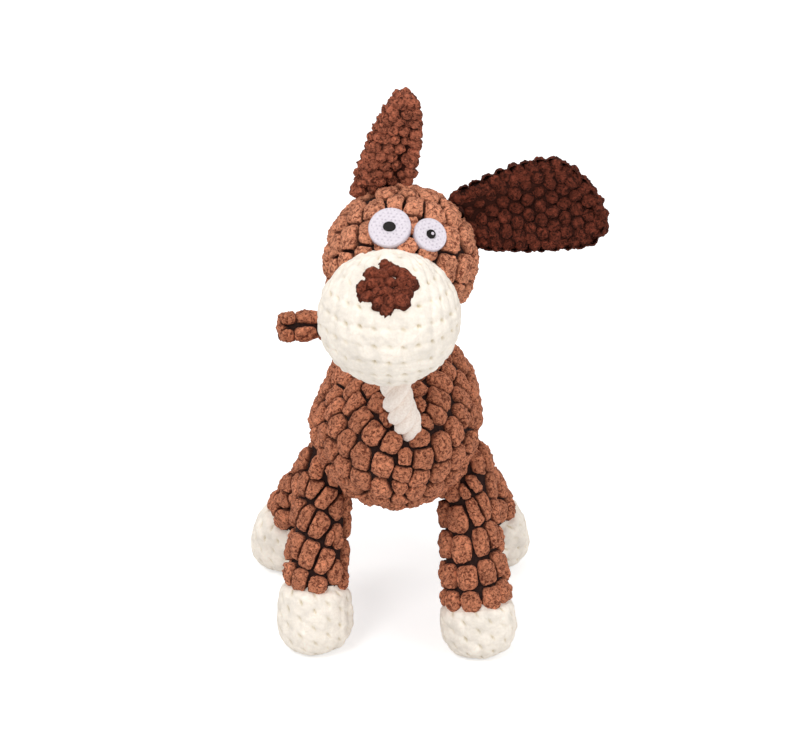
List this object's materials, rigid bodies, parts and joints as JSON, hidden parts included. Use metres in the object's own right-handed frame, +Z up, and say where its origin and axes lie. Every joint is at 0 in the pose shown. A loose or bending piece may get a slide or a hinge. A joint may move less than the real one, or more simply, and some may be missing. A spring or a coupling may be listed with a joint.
{
  "type": "squeaky plush dog toy",
  "caption": "Standing plush dog with puffed covers over stuffing, a twisted rope neck, flexible limbs, ears and tail, and a squeaker in its belly.",
  "frame": {"origin": "middle of the toy's footprint, on the surface that its paws stand on", "axes": "+Z up, the dog looks along -Y and its left side is +X"},
  "size_m": [0.1434, 0.1628, 0.2543],
  "materials": {
    "brown_plush": "matte",
    "nose_plush": "matte",
    "ear_plush": "matte",
    "cream_plush": "matte",
    "stuffing": "matte",
    "rope_cotton": "matte",
    "eye_thread": "satin",
    "pupil_thread": "satin",
    "bellows_plastic": "satin",
    "whistle_plastic": "satin",
    "reed_plastic": "gloss"
  },
  "bodies": {
    "torso": {"body_cover": "brown_plush", "body_stuffing_lower": "stuffing", "body_stuffing_upper": "stuffing", "squeaker_base": "bellows_plastic", "squeaker_whistle": "whistle_plastic", "squeaker_reed": "reed_plastic"},
    "squeaker_top": {"squeaker_dome": "bellows_plastic"},
    "neck": {"neck_rope": "rope_cotton"},
    "head": {"head_cover": "brown_plush", "head_stuffing": "stuffing", "muzzle_cover": "cream_plush", "muzzle_stuffing": "stuffing", "nose_pad": "nose_plush", "eye_patch_left": "eye_thread", "eye_patch_right": "eye_thread", "pupil_left": "pupil_thread", "pupil_right": "pupil_thread"},
    "ear_left": {"ear_left_front": "ear_plush", "ear_left_back": "ear_plush"},
    "ear_right": {"ear_right_front": "ear_plush", "ear_right_back": "ear_plush"},
    "leg_front_left": {"leg_cover_front_left": "brown_plush", "paw_cover_front_left": "cream_plush", "leg_stuffing_front_left": "stuffing"},
    "leg_front_right": {"leg_cover_front_right": "brown_plush", "paw_cover_front_right": "cream_plush", "leg_stuffing_front_right": "stuffing"},
    "leg_rear_left": {"leg_cover_rear_left": "brown_plush", "paw_cover_rear_left": "cream_plush", "leg_stuffing_rear_left": "stuffing"},
    "leg_rear_right": {"leg_cover_rear_right": "brown_plush", "paw_cover_rear_right": "cream_plush", "leg_stuffing_rear_right": "stuffing"},
    "tail": {"tail_cover": "brown_plush", "tail_stuffing": "stuffing"}
  },
  "joints": [
    {"name": "neck_bend", "type": "hinge", "parent": "torso", "child": "neck", "pos_m": [-0.00409, -0.02829, 0.10903], "axis": [1, 0, 0], "range_deg": [-30, 45], "stiffness_Nm_per_rad": 0.6, "deforming": ["neck_rope"]},
    {"name": "head_turn", "type": "hinge", "parent": "neck", "child": "head", "pos_m": [-0.00789, -0.02429, 0.15283], "axis": [0, 0, 1], "range_deg": [-60, 60], "stiffness_Nm_per_rad": 0.06},
    {"name": "ear_left_flap", "type": "hinge", "parent": "head", "child": "ear_left", "pos_m": [0.01748, -0.013, 0.19559], "axis": [0, 0.2589, 0.9659], "range_deg": [-55, 35], "stiffness_Nm_per_rad": 0.03},
    {"name": "ear_right_flap", "type": "hinge", "parent": "head", "child": "ear_right", "pos_m": [-0.01572, -0.01126, 0.20956], "axis": [1, 0, 0], "range_deg": [-30, 45], "stiffness_Nm_per_rad": 0.03},
    {"name": "leg_front_left_swing", "type": "hinge", "parent": "torso", "child": "leg_front_left", "pos_m": [0.01841, 0.00971, 0.07678], "axis": [1, 0, 0], "range_deg": [-35, 12], "stiffness_Nm_per_rad": 0.5},
    {"name": "leg_front_right_swing", "type": "hinge", "parent": "torso", "child": "leg_front_right", "pos_m": [-0.03819, 0.00971, 0.07678], "axis": [1, 0, 0], "range_deg": [-35, 12], "stiffness_Nm_per_rad": 0.5},
    {"name": "leg_rear_left_swing", "type": "hinge", "parent": "torso", "child": "leg_rear_left", "pos_m": [0.00725, 0.04371, 0.07211], "axis": [1, 0, 0], "range_deg": [-12, 35], "stiffness_Nm_per_rad": 0.5},
    {"name": "leg_rear_right_swing", "type": "hinge", "parent": "torso", "child": "leg_rear_right", "pos_m": [-0.02704, 0.04371, 0.07211], "axis": [1, 0, 0], "range_deg": [-12, 35], "stiffness_Nm_per_rad": 0.5},
    {"name": "tail_wag", "type": "hinge", "parent": "torso", "child": "tail", "pos_m": [-0.00989, 0.06621, 0.1051], "axis": [0, 0, 1], "range_deg": [-80, 20], "stiffness_Nm_per_rad": 0.03},
    {"name": "squeaker_press", "type": "slide", "parent": "torso", "child": "squeaker_top", "axis": [0, 0, 1], "range_m": [-0.006, 0], "stiffness_N_per_m": 150, "deforming": ["squeaker_dome"]}
  ]
}
